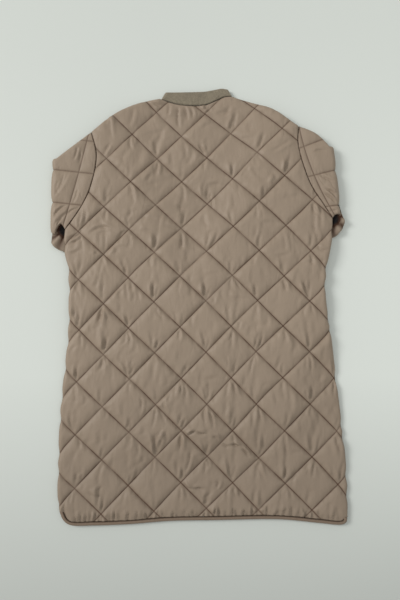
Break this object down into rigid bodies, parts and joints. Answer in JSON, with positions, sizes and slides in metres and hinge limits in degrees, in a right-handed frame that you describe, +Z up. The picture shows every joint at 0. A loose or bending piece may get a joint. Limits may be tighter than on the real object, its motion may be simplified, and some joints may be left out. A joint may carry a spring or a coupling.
{
  "type": "quilted jacket",
  "caption": "Long diamond-quilted jacket with a rib-knit band collar and bound hem, laid flat back up with its sleeves folded under.",
  "frame": {"origin": "middle of the footprint, on the surface that the jacket lies on", "axes": "+X to the wearer's right, +Y from the hem to the collar, +Z up out of the back of the jacket"},
  "size_m": [0.5928, 0.8788, 0.0218],
  "materials": {
    "quilted_shell": "smooth woven shell over wadding, soft sheen",
    "rib_knit": "fine rib knit, matt",
    "binding_tape": "narrow folded shell cloth, stitched"
  },
  "bodies": {
    "root": {"back": "quilted_shell", "front_left": "quilted_shell", "front_right": "quilted_shell", "sleeve_left": "quilted_shell", "sleeve_right": "quilted_shell", "collar": "rib_knit", "hem_binding_back": "binding_tape", "front_binding_left": "binding_tape", "front_binding_right": "binding_tape"}
  },
  "joints": []
}
